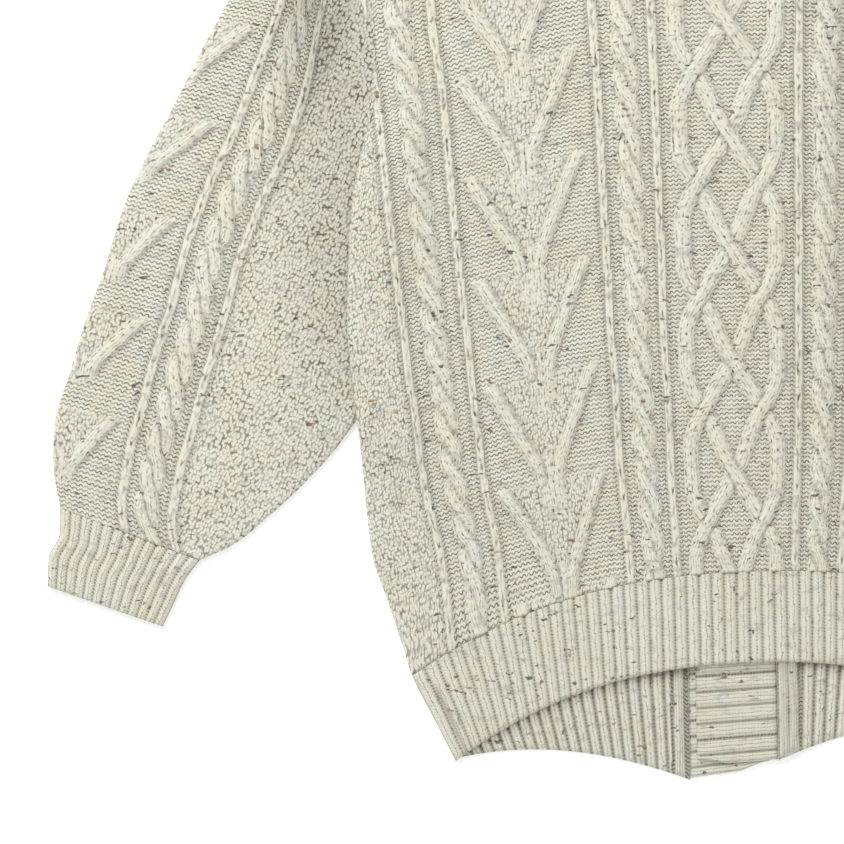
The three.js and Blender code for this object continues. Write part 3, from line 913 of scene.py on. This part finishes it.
def make_neck_band():
    part, w = np.meshgrid(np.linspace(-1, 1, 192 + 1), np.linspace(0, 1, BAND_STEPS + 1))
    top = BAND_TOP[-1]
    seam_x, free_x = part * NECK_HALF, part * top["free_x"]
    low = top_edge(seam_x) + 0.3
    high = NECK_BACK + BAND + (top["free_y"] - NECK_BACK - BAND) * part**2
    height, values = band_values(part * NECK_RIBS, w, 0)
    drop = np.maximum(roll_off((1 - w) * BAND, 3.0), roll_off((1 - np.abs(part)) * NECK_HALF, 3.0))
    face = LAYER + CLOTH - 1.4 + height
    face = face + (LAYER + 0.9 - face) * drop
    x, y = seam_x + (free_x - seam_x) * w, low + (high - low) * w
    return shell("neck_band_rib", x, y, face, LAYER + 0 * x, values)


neck_band = make_neck_band()
print("neck band faces:", len(neck_band.data.polygons))

# %% [markdown]
# ## The wool
# The material draws each stitch from the numbers on the mesh. Every kind of stitch is a height
# between 0 and 1, worked out by sums on sockets, which paints shade into the gaps between the yarns
# and feeds one Bump node. An image texture would do the same once, but sums follow any panel.

# %% Shader arithmetic
class Value:
    """A socket that can be used in sums. Each sum adds its Math node to the finish."""

    def __init__(self, finish, socket):
        self.finish, self.socket = finish, socket

    def math(self, operation, *others):
        return self.finish.math(operation, self, *others)

    def __add__(self, other): return self.math("ADD", other)
    def __radd__(self, other): return self.math("ADD", other)
    def __mul__(self, other): return self.math("MULTIPLY", other)
    def __rmul__(self, other): return self.math("MULTIPLY", other)
    def __sub__(self, other): return self.math("SUBTRACT", other)
    def __rsub__(self, other): return self.finish.math("SUBTRACT", other, self)
    def fraction(self): return self.math("FRACT")
    def absolute(self): return self.math("ABSOLUTE")
    def floor(self): return self.math("FLOOR")
    def power(self, e): return self.math("POWER", e)
    def at_least(self, low): return self.math("MAXIMUM", low)
    def at_most(self, high): return self.math("MINIMUM", high)
    def squared(self): return self * self

    def step(self, low, high):
        soft = {"interpolation_type": "SMOOTHSTEP"}
        return self.finish.node("ShaderNodeMapRange", soft, Value=self, From_Min=low, From_Max=high)


class Finish:
    """A material, and the one method that adds nodes to it."""

    def __init__(self, name):
        self.material = bpy.data.materials.new(name)
        self.material.use_nodes = True
        self.tree = self.material.node_tree
        self.shader = self.tree.nodes["Principled BSDF"]

    def put(self, slot, value):
        if isinstance(value, Value):
            self.tree.links.new(value.socket, slot)
        else:
            slot.default_value = value

    def node(self, kind, settings=None, slots=(), out=0, **values):
        """One node: its settings first, then its sockets, by number or by name."""
        node = self.tree.nodes.new(kind)
        for key, value in (settings or {}).items():
            setattr(node, key, value)
        for number, value in slots:
            self.put(node.inputs[number], value)
        for name, value in values.items():
            self.put(node.inputs[name.replace("_", " ")], value)
        return Value(self, node.outputs[out])

    def math(self, operation, *values):
        return self.node("ShaderNodeMath", {"operation": operation}, enumerate(values))

    def mix(self, factor, a, b):
        slots = ((0, factor), (6, a), (7, b))
        return self.node("ShaderNodeMix", {"data_type": "RGBA"}, slots, out=2)

    def stretch(self, vector, by):
        return self.node("ShaderNodeVectorMath", {"operation": "MULTIPLY"}, ((0, vector), (1, by)))

    def number(self, name):
        return self.node("ShaderNodeAttribute", {"attribute_name": name}, out=2)

    def pair(self, name):
        vector = self.node("ShaderNodeAttribute", {"attribute_name": name}, out=1)
        return [self.node("ShaderNodeSeparateXYZ", out=k, Vector=vector) for k in (0, 1)]

    def noise(self, vector, scale, detail, settings=None, **more):
        more.update(Vector=vector, Scale=scale, Detail=detail)
        return self.node("ShaderNodeTexNoise", settings, **more)

    def shade(self, **values):
        for name, value in values.items():
            self.put(self.shader.inputs[name.replace("_", " ")], value)


def blend(factor, a, b):
    return a + (b - a) * factor


print("sums on a socket:", [name for name in vars(Value) if not name.startswith("_")])

# %% [markdown]
# A knit stitch is two slanting legs, a purl stitch is a wavy bar, and moss stitch, knit and purl by
# turns, shows as short uneven loops. In the ribs the stitches are even. On the cables they are
# pulled about, and a Voronoi texture on the same places makes loops that only roughly keep to the
# grid. Real loops could be modelled one by one, but there are tens of thousands of them.

# %% Stitches as heights
def loops(s, r, uneven):
    """Round loops that keep roughly to a grid, with hollows where they don't meet."""
    place = s.finish.node("ShaderNodeCombineXYZ", X=s, Y=r)
    flat = {"voronoi_dimensions": "2D"}
    near = s.finish.node("ShaderNodeTexVoronoi", flat, Vector=place, Scale=1.0, Randomness=uneven)
    return (1.05 - near.squared() * 2.2).at_least(0.0).at_most(1.0)


def even_knit(s, r):
    """In a rib the stitches are even, and show as a column of V shapes."""
    out = (s.fraction() - 0.5).absolute() * 2
    leg = (1 - (out * 2 - 1).squared()).at_least(0.0)
    twist = (r - out * 1.5).fraction() * 2 - 1
    return leg.power(0.38) * (1 - twist.squared() * 0.5)


def uneven_knit(s, r):
    """Two slanting legs with a slit between them. The wool in them is uneven."""
    out = (s.fraction() - 0.5).absolute() * 2
    middle = 1 - ((r - out * 1.1).fraction() * 2 - 1).squared()
    slit = (1 - out.step(0.0, 0.5)) * 0.85 + out.step(0.62, 1.0) * 0.45
    legs = (0.75 + middle * 0.25 - slit * middle).at_least(0.0)
    return legs * 0.55 + loops(s * 2.2, (r - out * 0.6) * 0.9, 0.85) * 0.45


def purl_height(s, r):
    """Purl shows as rows of wavy bars."""
    wave = (s * (2 * math.pi)).math("SINE")
    up = (r + wave * 0.22).fraction() * 2 - 1
    return (1 - up.squared()).power(0.85) * (wave.absolute() * 0.35 + 0.65)


def moss_height(s, r):
    """Moss stitch is a heap of short uneven loops, half a stitch wide."""
    return loops(s * 2.1, r * 1.1, 0.75)


print("kinds of stitch:", len((even_knit, uneven_knit, purl_height, moss_height)))

# %% [markdown]
# The yarn is oatmeal wool spun with flecks of charcoal, rust and brown. Real flecks are short bits
# of fibre, a few to a stitch where they gather and none elsewhere, so one fine noise is cut off
# high and a broad noise says where it may show.

# %% The wool material
CREAM = (0.755, 0.76, 0.65, 1)
CREAM_WARM = (0.75, 0.72, 0.59, 1)
# the colour of the painted shade in the gaps between the yarns and in the creases
GAP_SHADE = (0.14, 0.13, 0.09, 1)
CHARCOAL = (0.06, 0.06, 0.07, 1)
RUST = (0.25, 0.12, 0.05, 1)
GREY = (0.33, 0.33, 0.34, 1)
FIBRE = (0.45, 1.0, 1.0)  # flecks are drawn out across the garment


def stitch_height(wool, place, knit_height, knit, moss):
    """The height of the stitches, and a random number for each."""
    gs, gr = wool.pair("ground")
    ss, sr = wool.pair("strand")
    wander = wool.noise(place, 150.0, 2.0) - 0.5
    sway = wool.noise(place, 110.0, 2.0, {"noise_dimensions": "4D"}, W=3.0) - 0.5
    gs, gr = gs + wander * 0.7, gr + sway * 0.8
    ss, sr = ss + wander * 0.4, sr + sway * 0.8
    cell = wool.node("ShaderNodeCombineXYZ", X=(ss + gs).floor(), Y=(sr + gr * 0.5).floor())
    luck = wool.node("ShaderNodeTexWhiteNoise", {"noise_dimensions": "3D"}, Vector=cell)
    plain = blend(moss, purl_height(gs, gr), moss_height(gs, gr))
    return blend(knit, plain, knit_height(ss, sr)), luck


def wool_colour(wool, place, painted_gap_shade):
    """Cream yarn, painted shade in the gaps and creases, and flecks on both."""
    drawn = wool.stretch(place, FIBRE)
    soft_fleck = wool.noise(drawn, 190.0, 2.0).step(0.54, 0.72) * 0.4
    fleck = wool.noise(drawn, 300.0, 1.5).step(0.64, 0.70)
    fleck = fleck * wool.noise(place, 60.0, 1.0).step(0.42, 0.6)
    fleck_colour = wool.mix(wool.noise(place, 90.0, 0.0).step(0.5, 0.6), CHARCOAL, RUST)
    yarn = wool.mix(wool.noise(place, 38.0, 2.0).step(0.3, 0.7), CREAM, CREAM_WARM)
    gapped = wool.mix(soft_fleck, wool.mix(painted_gap_shade, yarn, GAP_SHADE), GREY)
    return wool.mix(fleck * 0.85, gapped, fleck_colour)


def wool_material(name, knit_height, depth=1.0):
    wool = Finish(name)
    place = wool.node("ShaderNodeTexCoord", out=3)
    knit, moss = wool.number("knit"), wool.number("moss")
    height, luck = stitch_height(wool, place, knit_height, knit, moss)
    # painted shade: the gaps between the yarns, uneven from stitch to stitch, and the creases
    gap = (1 - height).step(0.24, 0.9) * (luck * 0.7 + 0.4) * depth * (1 - moss * 0.25)
    painted_gap_shade = (gap + wool.number("crease") * 0.5).at_most(1.0)
    relief = height * (1 - knit * 0.25) * 0.85 + wool.noise(place, 900.0, 3.0) * 0.15
    bump = wool.node("ShaderNodeBump", Strength=0.85, Distance=0.0011, Height=relief)
    wool.shade(Base_Color=wool_colour(wool, place, painted_gap_shade), Normal=bump)
    wool.shade(Roughness=0.92, Specular_IOR_Level=0.18, Sheen_Weight=0.12, Sheen_Roughness=0.5)
    return wool.material


WOOL = {
    "cable_knit": wool_material("cable_wool", uneven_knit),
    "ribbing": wool_material("rib_wool", even_knit, 0.75),
}
print("nodes in the cable wool:", len(WOOL["cable_knit"].node_tree.nodes))

# %% [markdown]
# ## Buttons
# Six plain round buttons are sewn to the right band and come through the left one, which lies
# beneath it, so they face down. They could be turned again here, but the CAD solids are round
# enough, so they only take a mottled finish, like horn: two browns, mixed by one noise.

# %% Button finish
HORN_DARK = (0.035, 0.018, 0.01, 1)
HORN_LIGHT = (0.14, 0.075, 0.035, 1)

horn = Finish("horn_button")
mottle = horn.noise(horn.node("ShaderNodeTexCoord", out=3), 220.0, 4.0).step(0.35, 0.65)
horn.shade(Base_Color=horn.mix(mottle, HORN_DARK, HORN_LIGHT), Roughness=0.35)
buttons = [ob for name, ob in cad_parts.items() if name.startswith("button_")]
for ob in buttons:
    ob.data.materials.clear()
    ob.data.materials.append(horn.material)
print("buttons:", len(buttons))

# %% [markdown]
# ## Naming what each piece is
# Every piece rides on the one body, stands for its CAD solid and takes its finish from a slot.

# %% Declarations
def declare(ob, node, slot):
    ob.data.materials.append(WOOL[slot])
    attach(ob, "root")
    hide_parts(node)


declare(back, "back", "cable_knit")
declare(back_rib, "back_rib", "ribbing")
for side, _ in SIDES:
    declare(sleeves[side], f"{side}_sleeve", "cable_knit")
    declare(cuffs[side], f"{side}_cuff", "ribbing")
    declare(fronts[side], f"{side}_front", "cable_knit")
    declare(front_ribs[side], f"{side}_front_rib", "ribbing")
    declare(bands[side], f"{side}_band", "ribbing")
declare(neck_band, "neck_band", "ribbing")
pairs = (sleeves, cuffs, fronts, front_ribs, bands)
print("pieces declared:", sum(len(pair) for pair in pairs) + 3)

# %% [markdown]
# ## Light, floor and camera
# The light is soft and even, as in a light tent, a little stronger from the top left. The floor is
# white to the eye and still takes the garment's shadow, so it glows a little by itself.

# %% Studio
FLOOR_HALF = 6.0
FLOOR_DROP = 0.0006
TENT_LIGHT = 0.74


def make_floor():
    me = bpy.data.meshes.new("floor")
    corners = ((-1, -1), (1, -1), (1, 1), (-1, 1))
    me.from_pydata([(x * FLOOR_HALF, y * FLOOR_HALF, 0) for x, y in corners], [], [(0, 1, 2, 3)])
    floor = bpy.data.objects.new("floor", me)
    bpy.context.collection.objects.link(floor)
    floor.location.z = -FLOOR_DROP
    white = Finish("floor_white")
    white.shade(Base_Color=(0.86, 0.86, 0.86, 1), Roughness=0.9)
    white.shade(Emission_Color=(1, 1, 1, 1), Emission_Strength=0.34)
    me.materials.append(white.material)


def add_area(name, place, size, power):
    light = bpy.data.lights.new(name, "AREA")
    light.shape, light.size, light.energy = "SQUARE", size, power
    ob = bpy.data.objects.new(name, light)
    ob.location = place
    ob.rotation_euler = (-Vector(place)).to_track_quat("-Z", "Y").to_euler()
    bpy.context.collection.objects.link(ob)


make_floor()
world = bpy.data.worlds.new("tent")
bpy.context.scene.world = world
world.use_nodes = True
background = world.node_tree.nodes["Background"]
background.inputs["Color"].default_value = (1, 1, 1, 1)
background.inputs["Strength"].default_value = TENT_LIGHT
add_area("key", (-1.1, 1.3, 1.9), 0.9, 32)
print("lights:", len(bpy.data.lights))

# %% [markdown]
# The camera looks straight down on the lower left of the back. It could hang low with a short
# lens, but then the sides of the ribs would lean outwards. It hangs high, and its lens follows
# from the width to be shown.

# %% Camera
VIEW_WIDTH = 0.633  # metres of the garment in view
CAMERA_HEIGHT = 3.2
CLOTH_TOP = 0.008
SENSOR = 36
LOOK_AT = (-0.2333, (185.6 + TO_FRAME) * MM)
camera_data = bpy.data.cameras.new("camera")
camera_data.sensor_width = SENSOR
camera_data.lens = SENSOR * (CAMERA_HEIGHT - CLOTH_TOP) / VIEW_WIDTH
camera = bpy.data.objects.new("camera", camera_data)
camera.location = (*LOOK_AT, CAMERA_HEIGHT)
camera.rotation_euler = (0, 0, math.radians(-1.175))
bpy.context.collection.objects.link(camera)
bpy.context.scene.camera = camera
bpy.context.scene.view_settings.view_transform = "Standard"
print("lens, mm:", round(camera_data.lens, 1))

# %% [markdown]
